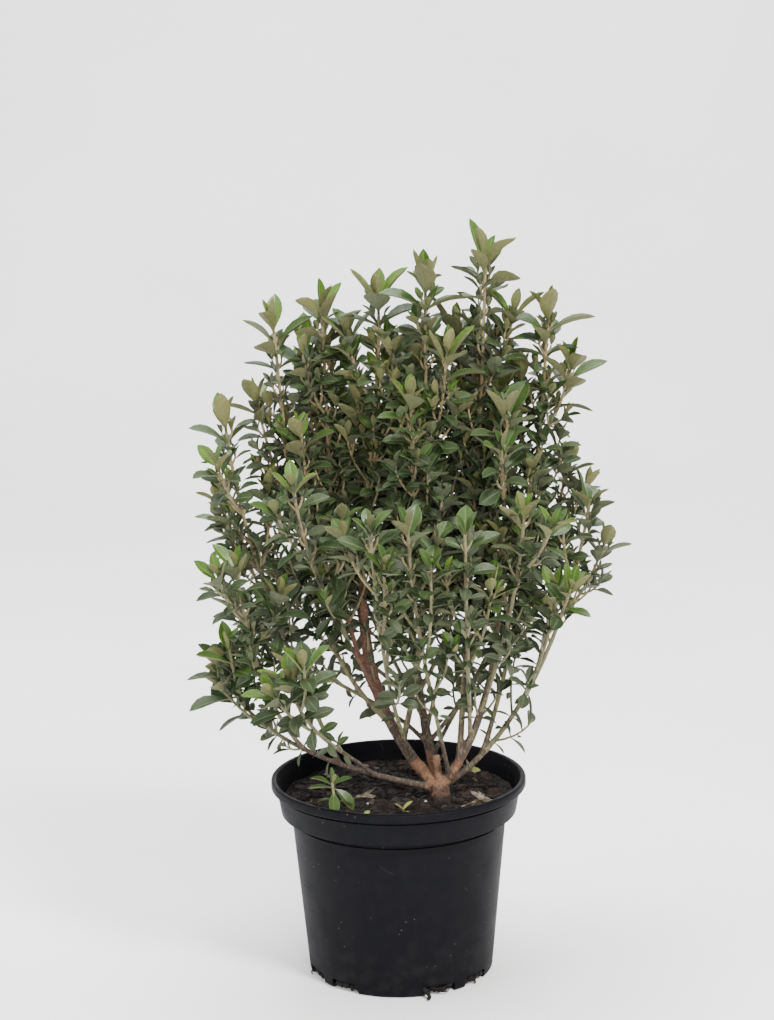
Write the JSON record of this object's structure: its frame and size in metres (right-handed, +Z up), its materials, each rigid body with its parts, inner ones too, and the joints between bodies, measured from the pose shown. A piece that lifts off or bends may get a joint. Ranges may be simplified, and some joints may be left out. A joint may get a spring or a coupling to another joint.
{
  "type": "potted daisy bush",
  "caption": "Young many-stemmed evergreen shrub with small leathery leaves, out of flower, in a round tapered nursery pot that stands on its flat underside",
  "frame": {"origin": "the middle of the pot's flat underside, on the pot's axis", "axes": "+Z up along the pot's axis; -Y towards the viewer, the side that the picture shows; +X to the viewer's right"},
  "size_m": [0.2895, 0.2434, 0.4931],
  "materials": {
    "pot": "near-black moulded plastic, satin, with a little dust",
    "soil": "dark brown potting mix with chips of bark, rough",
    "bark": "tan to reddish-brown peeling bark, matt",
    "foliage": "leathery green leaves, semi-gloss above and felted below"
  },
  "bodies": {
    "root": {"bough_back": "bark", "bough_centre_left": "bark", "bough_far_left": "bark", "bough_front_centre": "bark", "bough_front_centre_left": "bark", "bough_front_centre_right": "bark", "bough_front_left": "bark", "bough_front_right": "bark", "bough_left": "bark", "bough_left_front": "bark", "bough_left_low": "bark", "bough_low_left": "bark", "bough_low_right": "bark", "bough_rear_high_1": "bark", "bough_rear_high_2": "bark", "bough_rear_high_3": "bark", "bough_rear_low_1": "bark", "bough_rear_low_2": "bark", "bough_rear_wide_1": "bark", "bough_rear_wide_2": "bark", "bough_rear_wide_3": "bark", "bough_rear_wide_4": "bark", "bough_right": "bark", "bough_right_low": "bark", "bough_top": "bark", "bough_top_centre": "bark", "bough_top_left": "bark", "bough_top_right": "bark", "foliage_back": "foliage", "foliage_centre_left": "foliage", "foliage_far_left": "foliage", "foliage_front_centre": "foliage", "foliage_front_centre_left": "foliage", "foliage_front_centre_right": "foliage", "foliage_front_left": "foliage", "foliage_front_right": "foliage", "foliage_left": "foliage", "foliage_left_front": "foliage", "foliage_left_low": "foliage", "foliage_low_left": "foliage", "foliage_low_right": "foliage", "foliage_rear_high_1": "foliage", "foliage_rear_high_2": "foliage", "foliage_rear_high_3": "foliage", "foliage_rear_low_1": "foliage", "foliage_rear_low_2": "foliage", "foliage_rear_wide_1": "foliage", "foliage_rear_wide_2": "foliage", "foliage_rear_wide_3": "foliage", "foliage_rear_wide_4": "foliage", "foliage_right": "foliage", "foliage_right_low": "foliage", "foliage_top": "foliage", "foliage_top_centre": "foliage", "foliage_top_left": "foliage", "foliage_top_right": "foliage", "pot": "pot", "soil": "soil", "sprout": "foliage", "trunk": "bark"}
  },
  "joints": []
}
